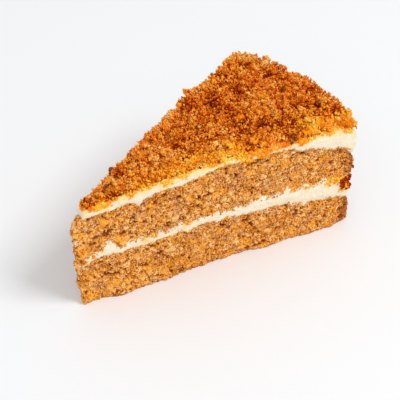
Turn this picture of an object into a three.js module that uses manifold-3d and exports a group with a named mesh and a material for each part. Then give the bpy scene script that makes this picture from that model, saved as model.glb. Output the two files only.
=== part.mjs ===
// A slice of two-layer carrot cake, cut as a wedge: two sponge layers, a cream filling between them,
// a cream top and a heap of coarse crumbs on it.
// Units are millimetres and +Z is up. The slice lies along X, its tip towards -X and its rim towards +X.
// The origin is on the flat base, halfway between the tip and the rim.
import * as THREE from "three";
import { mergeVertices } from "three/addons/utils/BufferGeometryUtils.js";
import Module from "manifold-3d";

const wasm = await Module();
wasm.setup();

// Driving dimensions
const cakeRadius = 130; // from the middle of the whole cake, where the cuts meet, to its rim
const sliceAngle = THREE.MathUtils.degToRad(32.8);
const layerGap = 0.3; // clear space between one layer and the next
const crumbGap = 0.15; // clear space between the cream and a crumb that hangs over its edge

// Heights of the layers' faces, as [distance from the middle of the cake, height].
// The sponges dome and droop towards the rim, where the cream fills the difference.
const spongeLowerTop = [[0, 24.2], [40, 23.3], [60, 24.7], [76, 22.5], [92, 21.8], [110, 18.4], [131, 14.2]];
const spongeUpperBottom = [[0, 26.6], [40, 26.4], [60, 27.9], [92, 28.4], [112, 26.7], [131, 21.8]];
const spongeUpperTop = [[0, 46.2], [20, 46.5], [50, 49.4], [64, 51.4], [80, 51.7], [98, 50.2], [131, 39.6]];
const creamTopTop = [[0, 49.2], [20, 50.0], [58, 53.6], [80, 54.2], [104, 53.6], [131, 51.3]];
const unevenness = { height: 0.5, size: 16 }; // the slow waves that every face between layers has

// How the walls leave the plain wedge: coarse and fine crags, and how far the rim bulges or is rounded off
const spongeWall = { coarse: 0.9, coarseSize: 7, fine: 0.5, fineSize: 3.2, bulge: 0, rounding: 2.4 };
const fillingWall = { coarse: 0.6, coarseSize: 9, fine: 0, fineSize: 4, bulge: 0.4, rounding: 0.8 };
const creamTopWall = { coarse: 0.7, coarseSize: 11, fine: 0, fineSize: 4, bulge: 1.8, rounding: 1.6 };
const smoothWall = { coarse: 0, coarseSize: 1, fine: 0, fineSize: 1, bulge: 0, rounding: 0 };

// The crumbs: a bumpy bed of them, set back from the cuts, and the ones that stand out of it
const bed = { thickness: 1.9, bump: 1.2, bumpSize: 3.4, setBack: 0.9, setBackWave: 1.2, tip: 6.5 };
const setBackWaveSize = 8;
const crumb = { count: 172, smallest: 1.3, largest: 2.5, edgeRoom: 1, triesEach: 12 };
const crumbForm = { corners: 0.2, narrowest: 0.8, widest: 1.3, lowest: 0.1, highest: 0.6 }; // in radii

// Repeatable noise: a value from -1 to 1 for each whole point, eased between them
function latticeValue(i, j, k) {
  let hash = Math.imul(i, 374761393) ^ Math.imul(j, 668265263) ^ Math.imul(k, 1274126177);
  hash = Math.imul(hash ^ (hash >>> 13), 1103515245);
  hash ^= hash >>> 16;
  return ((hash >>> 0) / 0xffffffff) * 2 - 1;
}

function noise(x, y, z) {
  const [i, j, k] = [x, y, z].map(Math.floor);
  const [u, v, w] = [x - i, y - j, z - k].map((t) => t * t * (3 - 2 * t));
  const { lerp } = THREE.MathUtils;
  const row = (b, c) => lerp(latticeValue(i, j + b, k + c), latticeValue(i + 1, j + b, k + c), u);
  return lerp(lerp(row(0, 0), row(1, 0), v), lerp(row(0, 1), row(1, 1), v), w);
}

// Random numbers from 0 to 1, the same on every run
function seededRandom(seed) {
  let state = seed;
  return () => {
    state = (state + 0x6d2b79f5) | 0;
    let hash = Math.imul(state ^ (state >>> 15), 1 | state);
    hash = (hash + Math.imul(hash ^ (hash >>> 7), 61 | hash)) ^ hash;
    return ((hash ^ (hash >>> 14)) >>> 0) / 2 ** 32;
  };
}

// The height at a distance, on a smooth curve through a profile's points
function profileHeight(profile, distance) {
  const last = profile.length - 1;
  let n = 0;
  while (n < last - 1 && distance > profile[n + 1][0]) n++;
  const pointAt = (k) => profile[THREE.MathUtils.clamp(k, 0, last)];
  const [before, start, end, after] = [n - 1, n, n + 1, n + 2].map(pointAt);
  const span = end[0] - start[0];
  const startRise = (span * (end[1] - before[1])) / (end[0] - before[0]);
  const endRise = (span * (after[1] - start[1])) / (after[0] - start[0]);
  const t = (distance - start[0]) / span;
  const eased = t * t * (3 - 2 * t);
  return start[1] + eased * (end[1] - start[1]) + t * (1 - t) * ((1 - t) * startRise - t * endRise);
}

// A face between layers: the height of a profile with slow waves, raised by an offset
function face(profile, seed, offset = 0) {
  const { height, size } = unevenness;
  const wave = (x, y) => height * noise(x / size, y / size, seed);
  return (x, y) => profileHeight(profile, Math.hypot(x, y)) + wave(x, y) + offset;
}

// A wedge between two faces, bent out of a box with the given steps along it, across it and up it.
// Its tip is cut blunt at the two given distances, at the bottom and at the top.
function wedge({ steps, bottom, top, tip, wall, seed, setBack = 0, setBackWave = 0 }) {
  const box = new THREE.BoxGeometry(1, 1, 1, ...steps);
  box.deleteAttribute("normal");
  box.deleteAttribute("uv");
  const geometry = mergeVertices(box);
  const position = geometry.attributes.position;
  for (let n = 0; n < position.count; n++) {
    const along = position.getX(n) + 0.5;
    const side = position.getY(n) * 2;
    const up = position.getZ(n) + 0.5;
    const angle = (side * sliceAngle) / 2;
    const nearEdge = Math.abs(2 * up - 1) ** 3; // 0 at mid-height, 1 at the wall's upper and lower edges
    const rim = cakeRadius - setBack + wall.bulge * (1 - nearEdge) - wall.rounding * nearEdge;
    const r = THREE.MathUtils.lerp(THREE.MathUtils.lerp(...tip, up), rim, along);
    let x = r * Math.cos(angle);
    let y = r * Math.sin(angle);
    const z = THREE.MathUtils.lerp(bottom(x, y), top(x, y), up);
    const coarse = wall.coarse * noise(x / wall.coarseSize, y / wall.coarseSize + seed, z / wall.coarseSize);
    const fine = wall.fine * noise(x / wall.fineSize, y / wall.fineSize, z / wall.fineSize + seed);
    if (Math.abs(side) === 1) {
      const wave = setBackWave * noise(x / setBackWaveSize, y / setBackWaveSize, seed);
      const shift = coarse + fine - setBack - wave;
      const eased = shift * Math.min(1, (along * steps[0]) / 2); // the tip's end keeps its width
      x -= eased * Math.sin(Math.abs(angle));
      y += eased * Math.cos(angle) * side;
    }
    if (along === 1) {
      x += (coarse + fine) * Math.cos(angle);
      y += (coarse + fine) * Math.sin(angle);
    }
    position.setXYZ(n, x, y, THREE.MathUtils.lerp(bottom(x, y), top(x, y), up));
  }
  return geometry;
}

// Between three.js geometry and manifold's solids
function toSolid(geometry) {
  const vertProperties = new Float32Array(geometry.attributes.position.array);
  const triVerts = new Uint32Array(geometry.index.array);
  return new wasm.Manifold(new wasm.Mesh({ numProp: 3, vertProperties, triVerts }));
}

function toGeometry(solid) {
  const { vertProperties, triVerts } = solid.getMesh();
  const geometry = new THREE.BufferGeometry();
  geometry.setAttribute("position", new THREE.BufferAttribute(vertProperties, 3));
  geometry.setIndex(new THREE.BufferAttribute(triVerts, 1));
  return geometry;
}

const slice = new THREE.Group();
slice.position.x = -cakeRadius / 2;

const looks = {
  sponge: { color: 0xcf8f4c, roughness: 0.95, metalness: 0 },
  cream: { color: 0xf3e6c8, roughness: 0.55, metalness: 0 },
  crumbs: { color: 0xbf6a22, roughness: 1, metalness: 0 },
};

function addNode(name, geometry, look) {
  geometry.computeVertexNormals();
  const mesh = new THREE.Mesh(geometry, new THREE.MeshStandardMaterial(look));
  mesh.name = name;
  slice.add(mesh);
}

// Lower sponge, flat underneath, its tip leaning back to the base
const spongeLower = wedge({
  steps: [34, 4, 6],
  bottom: () => 0,
  top: face(spongeLowerTop, 1),
  tip: [3.2, 1.8],
  wall: spongeWall,
  seed: 11,
});
addNode("sponge_lower", spongeLower, looks.sponge);

// Cream filling, thin near the tip and thick towards the rim
const creamFilling = wedge({
  steps: [34, 4, 2],
  bottom: face(spongeLowerTop, 1, layerGap),
  top: face(spongeUpperBottom, 2, -layerGap),
  tip: [1.6, 1.4],
  wall: fillingWall,
  seed: 12,
});
addNode("cream_filling", creamFilling, looks.cream);

// Upper sponge, domed, and thinner at the rim
const spongeUpper = wedge({
  steps: [34, 4, 6],
  bottom: face(spongeUpperBottom, 2),
  top: face(spongeUpperTop, 3),
  tip: [1.4, 3.6],
  wall: spongeWall,
  seed: 13,
});
addNode("sponge_upper", spongeUpper, looks.sponge);

// Cream top, nearly level on the domed sponge, so deep at the rim, where it stands a little proud
const creamTop = wedge({
  steps: [34, 4, 3],
  bottom: face(spongeUpperTop, 3, layerGap),
  top: face(creamTopTop, 4),
  tip: [4.2, 6.2],
  wall: creamTopWall,
  seed: 14,
});
addNode("cream_top", creamTop, looks.cream);

// Crumbs
const bedBottom = face(creamTopTop, 4, layerGap);

function bedTop(x, y) {
  return bedBottom(x, y) + bed.thickness + bed.bump * noise(x / bed.bumpSize, y / bed.bumpSize, 5);
}

// A crumb is an icosahedron with uneven corners, turned and stretched at random
function crumbSolid(random, radius, x, y, z) {
  const { corners, narrowest, widest } = crumbForm;
  const stretch = () => THREE.MathUtils.lerp(narrowest, widest, random());
  const ball = new THREE.IcosahedronGeometry(radius, 0);
  ball.deleteAttribute("normal");
  ball.deleteAttribute("uv");
  const geometry = mergeVertices(ball);
  const position = geometry.attributes.position;
  const corner = new THREE.Vector3();
  for (let n = 0; n < position.count; n++) {
    corner.fromBufferAttribute(position, n).multiplyScalar(1 + corners * (2 * random() - 1));
    position.setXYZ(n, ...corner);
  }
  geometry.rotateX(random() * Math.PI);
  geometry.rotateZ(random() * Math.PI);
  geometry.scale(stretch(), stretch(), narrowest);
  geometry.translate(x, y, z);
  return toSolid(geometry);
}

// A place on the slice's top, clear of its edges
function randomPlace(random) {
  const r = THREE.MathUtils.lerp(bed.tip, cakeRadius - crumb.edgeRoom, Math.sqrt(random()));
  const room = Math.asin(crumb.edgeRoom / r);
  const angle = (2 * random() - 1) * (sliceAngle / 2 - room);
  return { x: r * Math.cos(angle), y: r * Math.sin(angle) };
}

// Places spread evenly: each is the one of several tries that lies furthest from all before it
function spreadPlaces(random) {
  const places = [];
  const clearance = (a) => Math.min(...places.map((b) => Math.hypot(a.x - b.x, a.y - b.y)));
  for (let n = 0; n < crumb.count; n++) {
    const tries = Array.from({ length: crumb.triesEach }, () => randomPlace(random));
    places.push(tries.reduce((best, place) => (clearance(place) > clearance(best) ? place : best)));
  }
  return places;
}

const bedShape = {
  steps: [28, 9, 1],
  bottom: bedBottom,
  top: bedTop,
  tip: [bed.tip, bed.tip],
  wall: smoothWall,
  seed: 15,
  setBack: bed.setBack,
  setBackWave: bed.setBackWave,
};
let heap = toSolid(wedge(bedShape));
const random = seededRandom(2024);
spreadPlaces(random).forEach(({ x, y }, n) => {
  const radius = THREE.MathUtils.lerp(crumb.largest, crumb.smallest, n / crumb.count); // largest first
  const lift = THREE.MathUtils.lerp(crumbForm.lowest, crumbForm.highest, random());
  heap = heap.add(crumbSolid(random, radius, x, y, bedTop(x, y) + radius * lift));
});

// Crumbs that overhang the cream's edge end just above it
const below = {
  ...bedShape,
  bottom: () => 0,
  top: face(creamTopTop, 4, layerGap - crumbGap),
  tip: [1, 1],
  setBack: -2 * crumb.largest,
};
heap = heap.subtract(toSolid(wedge(below)));
const [largestPiece] = heap.decompose().sort((a, b) => b.volume() - a.volume());
addNode("crumb_topping", toGeometry(largestPiece), looks.crumbs);

export default slice;
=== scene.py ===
import bmesh
import bpy
import itertools
import math
import random
from mathutils import Euler, Matrix, Vector, noise
from mathutils.bvhtree import BVHTree


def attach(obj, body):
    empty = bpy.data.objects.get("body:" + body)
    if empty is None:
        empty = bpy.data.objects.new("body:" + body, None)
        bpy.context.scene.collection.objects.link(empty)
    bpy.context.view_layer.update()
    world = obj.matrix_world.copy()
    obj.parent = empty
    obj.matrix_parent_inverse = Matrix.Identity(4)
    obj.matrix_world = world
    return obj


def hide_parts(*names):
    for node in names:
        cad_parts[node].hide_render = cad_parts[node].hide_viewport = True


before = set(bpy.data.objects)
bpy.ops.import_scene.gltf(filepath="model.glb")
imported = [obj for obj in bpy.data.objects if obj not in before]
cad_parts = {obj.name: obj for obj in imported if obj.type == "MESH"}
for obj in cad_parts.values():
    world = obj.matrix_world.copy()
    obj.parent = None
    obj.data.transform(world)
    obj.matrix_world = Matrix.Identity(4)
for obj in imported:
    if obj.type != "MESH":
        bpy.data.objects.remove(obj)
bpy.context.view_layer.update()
mm = 0.001  # sizes below are in millimetres


def mix(a, b, t):
    return a + (b - a) * t


def clamp(value, low=0.0, high=1.0):
    return max(low, min(high, value))


def ease(low, high, value):  # 0 below low, 1 above high, eased between them
    t = clamp((value - low) / (high - low))
    return t * t * (3 - 2 * t)


def bump(value, centre, width):  # a soft hump of height 1
    return math.exp(-(((value - centre) / width) ** 2))


def between(table, place):  # from pairs of a place and a value, along straight lines
    place = clamp(place, table[0][0], table[-1][0])
    for (low, first), (high, second) in zip(table, table[1:]):
        if place <= high:
            return mix(first, second, (place - low) / (high - low))


def humps(places, x, y):  # soft humps added up: x, y, size, height
    return sum(height * bump(math.hypot(x - px, y - py), 0, size) for px, py, size, height in places)


noise.seed_set(11)  # noise_vector would differ from run to run without it
noiseTurn = Euler((0.6, 0.45, 0.9)).to_matrix()  # keeps the noise's own grid off the cuts


def rough(point, size):  # smooth noise, about -1 to 1
    return noise.noise(noiseTurn @ point / size)


# The slice's outline, the same for every layer: near cut, rim, far cut, blunt tip
wedge = {
    "radius": 130,
    "angle": math.radians(32.8),
    "tipWidth": 2.4,
    "cornerEase": 0.6,  # how far round a corner its two walls blend
}
halfAngle = wedge["angle"] / 2
middleX = -wedge["radius"] / 2  # the middle of the whole cake, where the cuts meet
middle = Vector((middleX, 0, 0))
cutLength = wedge["radius"]
rimLength = wedge["radius"] * wedge["angle"]
roundLength = 2 * cutLength + rimLength + wedge["tipWidth"]
nearCut, rimWall, farCut, tipEnd = range(4)


def halfWidthAt(r):  # of the slice
    return math.hypot(r * math.sin(halfAngle), wedge["tipWidth"] / 2)


def plainOutline(along, tip, rim):  # place, outward normal, wall and distance from the cake's middle
    along %= roundLength
    sine, cosine = math.sin(halfAngle), math.cos(halfAngle)
    if along < cutLength or cutLength + rimLength <= along < 2 * cutLength + rimLength:
        wall = nearCut if along < cutLength else farCut
        side = -1 if wall == nearCut else 1
        run = along if wall == nearCut else 2 * cutLength + rimLength - along
        r = mix(tip, rim, run / cutLength)
        return Vector((r * cosine, side * halfWidthAt(r))), Vector((-sine, side * cosine)), wall, r
    if along < cutLength + rimLength:
        angle = mix(-halfAngle, halfAngle, (along - cutLength) / rimLength)
        normal = Vector((math.cos(angle), math.sin(angle)))
        return normal * rim, normal, rimWall, rim
    halfWidth = halfWidthAt(tip)
    y = mix(halfWidth, -halfWidth, (along - roundLength + wedge["tipWidth"]) / wedge["tipWidth"])
    return Vector((tip * cosine, y)), Vector((-1, 0)), tipEnd, tip


def outline(along, tip, rim):  # the plain outline with its corners eased
    place, normal, wall, r = plainOutline(along, tip, rim)
    reach = wedge["cornerEase"]
    before, after = (plainOutline(along + step, tip, rim) for step in (-reach, reach))
    place = (place * 2 + before[0] + after[0]) / 4
    normal = (normal * 2 + before[1] + after[1]).normalized()
    return place, normal, wall, r


# Heights of the layers' faces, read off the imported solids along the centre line
profileStep = 4
profileStations = range(10, 127, profileStep)
overCake, underCake = 100, -10  # where the rays start


def faceProfile(node, upper):
    bm = bmesh.new()
    bm.from_mesh(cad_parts[node].data)
    bmesh.ops.remove_doubles(bm, verts=bm.verts, dist=0.001 * mm)
    tree = BVHTree.FromBMesh(bm)
    bm.free()
    direction = Vector((0, 0, -1 if upper else 1))
    levels = []
    for r in profileStations:
        start = Vector((middleX + r, 0, overCake if upper else underCake)) * mm
        levels.append(tree.ray_cast(start, direction)[0].z / mm)
    padded = levels[:1] + levels + levels[-1:]
    eased = [(a + 2 * b + c) / 4 for a, b, c in zip(padded, padded[1:], padded[2:])]
    return eased[:-1] + levels[-1:]


def heightAt(profile, r):  # along straight lines between the stations, and a little beyond them
    place = (r - profileStations[0]) / profileStep
    n = int(clamp(place, 0, len(profile) - 2))
    return mix(profile[n], profile[n + 1], max(place, -1.5) - n)


faces = {
    "lowerTop": faceProfile("sponge_lower", True),
    "upperBottom": faceProfile("sponge_upper", False),
    "upperTop": faceProfile("sponge_upper", True),
    "creamTop": faceProfile("cream_top", True),
}
seams = {  # dents: r, height and width of a rise or a dip that shows on the near cut
    "lowerTop": {"wave": 0.5, "waveSize": 5, "dents": (
        (7, -1, 2), (10, -0.9, 3), (15, -1.4, 1.8), (20, -1.5, 5), (26.6, -1.7, 2), (31, -1.2, 2),
        (47, 0.6, 2), (50.3, -0.9, 1.4), (54, -0.8, 1.4), (64.6, -2.1, 2.4), (74, -1.2, 1.5),
        (80, -1.2, 3), (87, -1.2, 2.2), (94, -0.6, 1.5), (98, 0.8, 2), (101.5, -1.6, 2.4),
        (107, -2.6, 2), (116.5, -1.3, 2.4),
    )},
    "upperBottom": {"wave": 0.6, "waveSize": 5, "dents": (
        (10.3, -2.4, 1.8), (14, 3.2, 1.5), (16.3, 3, 1.9), (20.6, -2.3, 2.6), (27.6, -1.5, 1.8),
        (31.5, -1, 2), (35, -1.7, 1.8), (38, 1.4, 1.2), (40.8, -1.8, 2.2), (44, -0.8, 1.2),
        (47, 1.6, 1.6), (60, -1.2, 4), (66, -1.3, 2.2), (71, -2.4, 2), (76, -1.6, 2.4),
        (82.5, -1.2, 1.8), (84.5, -0.6, 1.4), (91, -1.4, 2), (94.4, 0.6, 1.4), (98, 2.2, 1.3),
        (107, 2.4, 2.6), (110.5, -0.6, 1.2), (116.3, 3.2, 2.8), (123, 1, 2),
    )},
    "upperTop": {"wave": 0.5, "waveSize": 6, "dents": (
        (29.2, -3.6, 2.2), (34.3, -1.2, 2.2), (49.5, -1.1, 4), (57, -0.5, 2), (68, 0.5, 2),
        (81.5, -1.2, 1.6), (98.6, 0.7, 1.6), (102.6, -0.9, 2.2), (114, 1.4, 1.5), (117.6, 0.4, 2),
        (124, 1.4, 3.5),
    )},
    "creamTop": {"wave": 0.5, "waveSize": 8, "dents": ()},
}
ragged = {"height": 0.4, "size": 1.25}
closedTip = {"fades": (5.5, 9.5), "gap": 0.3}  # the sponges are pressed together over the filling


def seamHeight(seam, x, y, r, wall):  # where two layers meet, the same for both of them
    settings = seams[seam]
    size = settings["waveSize"]
    seed = 3 * len(seam)
    height = heightAt(faces[seam], r) + settings["wave"] * rough(Vector((x, y, seed * size)), size)
    height += ragged["height"] * rough(Vector((x, y, seed)), ragged["size"])
    if wall in (nearCut, tipEnd):
        height += sum(rise * bump(r, centre, width) for centre, rise, width in settings["dents"])
        if seam == "upperBottom":
            shut = heightAt(faces["lowerTop"], r) + closedTip["gap"]
            height = mix(shut, height, ease(*closedTip["fades"], r))
    return height


def flatBase(x, y, r, wall):
    return 0


print("slice: outline and face heights ready")

# A layer: a band of faces round the outline, with relief, closed over its top and bottom
foot = {  # the near cut leans out a little at its foot: r, millimetres
    "height": 12,
    "out": (
        (0, 0), (9, 0.3), (13, 1.2), (16, 2.2), (38, 1.9), (43, 0.8), (54, 0.6), (66, 0), (78, 0.1),
        (82, 0.9), (94, 1.6), (98, 0.6), (104, 1.2), (112, 1.9), (120, 1.9), (124, 0.9), (130, 0.2),
    ),
}


def layerPoint(settings, along, up):  # a point on the wall, its outward normal and its marks
    edge = abs(2 * up - 1) ** settings["edgePower"]
    tip = between(settings["tip"], up)
    rim = wedge["radius"] - settings["rimRounding"] * edge + settings["rimBulge"] * (1 - edge)
    place, normal, wall, r = outline(along, tip, rim)
    bottom = settings["bottom"](place.x, place.y, r, wall)
    top = settings["top"](place.x, place.y, r, wall)
    point = Vector((place.x, place.y, mix(bottom, top, up)))
    out, values = settings["relief"](point, wall, r, point.z - bottom, top - point.z)
    out -= settings["cutRounding"] * edge if wall != rimWall else 0
    if wall == nearCut:
        out += between(foot["out"], r) * (1 - ease(0, foot["height"], point.z))
    point.xy += normal * out
    return point, Vector((normal.x, normal.y, 0)), values


def layerShape(settings):
    bm = bmesh.new()
    columns = round(roundLength / settings["grid"])
    bmesh.ops.create_grid(bm, x_segments=columns, y_segments=settings["rows"], size=0.5)
    marks = {name: bm.verts.layers.float.new(name) for name in settings["marks"]}
    half = max(vert.co.x for vert in bm.verts)
    for vert in bm.verts:
        along = (vert.co.x / half + 1) / 2 * roundLength
        point, normal, values = layerPoint(settings, along, (vert.co.y / half + 1) / 2)
        vert.co = (point + middle) * mm
        for name, value in values.items():
            vert[marks[name]] = value
    bmesh.ops.remove_doubles(bm, verts=bm.verts, dist=0.01 * mm)
    closeLayer(bm, settings)
    bmesh.ops.recalc_face_normals(bm, faces=bm.faces)
    return bm


# Rings on its top and bottom: share of the width, inset from the rim, cream's stain, how far it sinks
rings = ((0.96, 0.8, 0.9, 0), (0.88, 2.4, 1, 0), (0.75, 5, 1, 0.8), (0.4, 12, 1, 1))


def closeLayer(bm, settings):  # rings of faces towards the centre line, then one face inside them
    def faceHeight(face, x, y):
        return settings[face](x, y, math.hypot(x, y), farCut)

    def isUpper(edge):
        x, y, z = edge.verts[0].co / mm - middle
        return z > (faceHeight("bottom", x, y) + faceHeight("top", x, y)) / 2

    loose = [edge for edge in bm.edges if edge.is_boundary]
    for face in ("bottom", "top"):
        loop = [edge for edge in loose if isUpper(edge) == (face == "top")]
        for share, inset, stain, sunk in rings:
            limit = wedge["radius"] - settings["rimRounding"] - inset
            grown = bmesh.ops.extrude_edge_only(bm, edges=loop)["geom"]
            loop = [item for item in grown if isinstance(item, bmesh.types.BMEdge)]
            for vert in (item for item in grown if isinstance(item, bmesh.types.BMVert)):
                x, y = vert.co.x / mm - middleX, vert.co.y / mm
                x = min(x, limit * math.cos(math.asin(clamp(y / wedge["radius"], -1, 1))))
                y *= share
                vert.co = Vector((x + middleX, y, faceHeight(face, x, y))) * mm
                if "stain" in settings["marks"]:
                    vert[bm.verts.layers.float["stain"]] = stain
                    vert.co.z -= sunk * mm if face == "top" else 0
        bmesh.ops.contextual_create(bm, geom=loop)


def meshOf(bm, name):
    mesh = bpy.data.meshes.new(name)
    bm.to_mesh(mesh)
    bm.free()
    return mesh


def addObject(name, data):
    made = bpy.data.objects.new(name, data)
    bpy.context.scene.collection.objects.link(made)
    return made


def finishPiece(bm, name, smooth=True):
    bmesh.ops.triangulate(bm, faces=[face for face in bm.faces if len(face.verts) > 4])
    for face in bm.faces:
        face.smooth = smooth
    piece = addObject(name, meshOf(bm, name))
    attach(piece, "root")
    print(f"{name}: {len(piece.data.polygons)} faces")
    return piece


# Sponge
sponge = {
    "grid": 0.42,
    "slow": 0.8,
    "slowSize": 6.3,
    "crumbs": ((2.8, 1.0), (1.3, 0.85)),  # rounded, with creases between them: size, depth
    "fineGrain": 0.28,
    "fineGrainSize": 0.7,
    "pores": ((0.95, 0.5, 0.5), (1.7, 0.5, 1.0), (3.6, 0.2, 1.5)),  # cell, share with a pore, depth
    "poreWarp": 0.45,
    "poreWarpSize": 0.9,
    "poreStretch": 1.5,  # pores are wider than they are tall
    "rimPores": 0.25,
    "rimSmears": 0.4,
    "hole": 1.4,  # depth of the larger holes
    "skinFades": (0.4, 1.9),
    "skinGrows": (70, 95),  # from r to r
    "crust": 0.85,
    "smears": (-0.6, 0.5),  # a smear of cream fades between these distances from it
    "smearFades": (0.6, 1.15),
}
cutSpots = {  # places on the near cut: r, z, reach, height
    "smear": (  # cream dragged over the sponge by the knife
        (11, 25.2, 2.6, 1.5), (8.6, 24, 2.2, 1.3), (6, 22.4, 1.8, 1), (3.6, 21.2, 1.4, 0.7),
        (1.6, 34.8, 1.4, 1.1), (5.2, 40.6, 1.6, 0.6), (91.7, 52.6, 1.2, 0.8), (95.6, 50.6, 1.6, 0.6),
        (99.8, 48.2, 1.2, 0.8), (103, 48.6, 1, 0.6), (113.5, 44.6, 1.3, 0.6),
    ),
    "stain": (  # crumb syrup on the cream
        (20.3, 27.2, 2.2, 1.3), (31, 24.6, 2.6, 1.4), (48.8, 26.3, 1, 2.6), (121, 24.5, 5, 2.2),
    ),
    "hole": (
        (8.1, 31.2, 1.6, 1.2), (21.4, 31.8, 1.5, 1.1), (78.8, 49, 2, 0.9), (13.8, 33.6, 1.5, 1.1),
        (41.3, 29.3, 1.5, 1.5), (9.9, 33.9, 1.4, 0.9), (10.7, 20.4, 1.5, 0.9), (100.8, 46.7, 2, 0.7),
        (82.1, 48.5, 1.5, 0.8), (60, 39.4, 2.6, 0.8), (79.8, 35.4, 2.2, 0.8), (16, 35.4, 1.4, 0.9),
        (7.3, 38.1, 1.3, 0.9), (104.2, 46.2, 1.6, 0.7), (127.4, 3.1, 1.4, 1.4), (83.1, 2.6, 2, 0.9),
        (78, 18.1, 1.6, 0.9), (110.8, 10.9, 1.3, 0.9), (117.9, 7.1, 1.1, 1.1), (66.4, 19.5, 2, 0.8),
        (126.9, 7.5, 1.2, 1.1), (34.2, 20.2, 2, 0.8), (102.9, 12.6, 1.4, 0.9), (46.8, 1.3, 2, 0.9),
        (95, 38.5, 1.8, 0.7), (112, 40.5, 1.4, 0.8), (119, 37, 1, 1.3), (50, 33, 1.8, 0.7),
        (31, 34.5, 1.4, 0.8),
    ),
    "amber": (
        (19.5, 28.8, 3, 1.4), (68.6, 49.3, 3.5, 1.7), (97.1, 44.2, 3, 1.8), (101.6, 29.8, 3, 1.3),
        (3.7, 24.9, 2, 2.6), (66, 39, 3, 2.2), (4.9, 29.4, 2, 2), (14.6, 40.2, 3, 2),
        (15.7, 43.4, 2.2, 1.3), (78.5, 44.9, 2.4, 1.6), (95.7, 29.6, 3, 1.3), (52.3, 39.5, 2.2, 2),
        (8.1, 36.8, 2, 1.6), (8.3, 31.4, 2.8, 1.8), (78.5, 5, 3.2, 2), (53.1, 15.3, 2.8, 1.6),
        (112.3, 5.6, 3, 2), (4.1, 4.1, 3.6, 3), (87.6, 2.7, 2.5, 1.6), (16, 7.3, 3, 2.4),
        (100.4, 3.9, 3, 1.6), (51.1, 3.6, 3, 2), (72.1, 2.2, 3, 1.4), (38.8, 4.5, 2.4, 1.6),
        (5.3, 13.5, 2, 3), (0.6, 38.6, 1.8, 1.8), (57.5, 11.3, 2.2, 1.6), (31, 10, 2.4, 1.8),
        (122, 27.5, 4, 1.6), (40, 34, 2.2, 1.6),
    ),
    "mauve": (
        (29.9, 45.2, 3, 1.6), (9, 43.3, 2.2, 1.3), (87.4, 36.1, 2.4, 1.8), (7.8, 17.6, 2.2, 1.6),
        (91.4, 18, 3.4, 2.2), (117.4, 6, 2, 1.4), (102.1, 16.4, 2.2, 1.2), (110.1, 12.3, 1.8, 1.4),
        (15.8, 18.4, 2.2, 1.1), (60, 23, 6, 1.4), (45, 36, 3.5, 2), (73, 20, 4, 1.6), (52, 20, 4, 1.4),
        (27.5, 39.7, 3.2, 1.8), (93, 50.6, 4, 0.9), (107.5, 46.8, 4, 0.9),
    ),
}


def spotAmount(kind, point, r, uneven, fades=(0.5, 1.3)):
    amount = 0
    for spotR, spotZ, reach, height in cutSpots[kind]:
        if abs(r - spotR) < 2 * reach and abs(point.z - spotZ) < 2 * height:
            away = math.hypot((r - spotR) / reach, (point.z - spotZ) / height)
            amount = max(amount, 1 - ease(*fades, away - uneven))
    return amount


def poreDepth(point):
    depth = 0
    warp = noise.noise_vector(point / sponge["poreWarpSize"]) * sponge["poreWarp"]
    for size, share, deep in sponge["pores"]:
        stretched = Vector((point.x, point.y, point.z * sponge["poreStretch"])) / size + warp
        distances, centres = noise.voronoi(stretched + Vector((5 * size, 0, 0)))
        chance = noise.cell(centres[0] * 7.3 + Vector((0.5, 0.5, 0.5))) * 0.5 + 0.5
        if chance < share:
            radius = 0.3 + 0.25 * chance / share
            depth = max(depth, deep * (1 - ease(radius * 0.45, radius, distances[0])))
    return depth


def smearAmount(point, wall, r, seamDistance):
    uneven = rough(point, 1.3) * 0.6 + rough(point, 3.5) * 0.8
    amount = 1 - ease(*sponge["smears"], seamDistance - 1.1 * uneven)
    amount *= ease(*closedTip["fades"], r)
    if wall in (nearCut, tipEnd):
        amount = max(amount, spotAmount("smear", point, r, 0.3 * uneven, sponge["smearFades"]))
    return amount


def spongeRelief(creamBelow, creamAbove, skinAbove, crust):
    def relief(point, wall, r, aboveBottom, belowTop):
        slow = sponge["slow"] * rough(point, sponge["slowSize"])
        lumps = sum(deep * (abs(rough(point, size)) - 0.25) for size, deep in sponge["crumbs"])
        fine = sponge["fineGrain"] * rough(point, sponge["fineGrainSize"])
        onRim = wall == rimWall
        seamDistance = min(aboveBottom if creamBelow else 99, belowTop if creamAbove else 99)
        smear = smearAmount(point, wall, r, seamDistance) * (sponge["rimSmears"] if onRim else 1)
        pore = poreDepth(point) * (sponge["rimPores"] if onRim else 1) * (1 - smear)
        uneven = 0.5 + 0.5 * rough(point, 2.2)
        amber = mauve = 0
        if wall in (nearCut, tipEnd):
            patchy = 0.45 * rough(point, 1.4)
            hole, amber, mauve = (spotAmount(kind, point, r, patchy) for kind in ("hole", "amber", "mauve"))
            pore = max(pore, sponge["hole"] * hole)
        skin = 1 if onRim else sponge["crust"] * ease(*crust, r + 0.8 * uneven)
        if not creamBelow:
            skin = max(skin, 1 - ease(0.2, 1.6, aboveBottom + 0.8 * uneven))
        if skinAbove:
            strength = skinAbove * mix(0.45, 1, ease(*sponge["skinGrows"], r))
            skin = max(skin, (1 - ease(*sponge["skinFades"], belowTop + 0.7 * uneven)) * strength)
        out = slow + (lumps + fine) * (1 - 0.5 * smear) - pore + 0.2 * smear
        # crease keeps the lumps' relief as painted shade in the creases and painted light on the lumps'
        # tops
        marks = {"pore": pore, "skin": skin * (1 - smear), "smear": smear, "crease": -lumps}
        return out, {**marks, "amber": amber, "mauve": mauve}
    return relief


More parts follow.
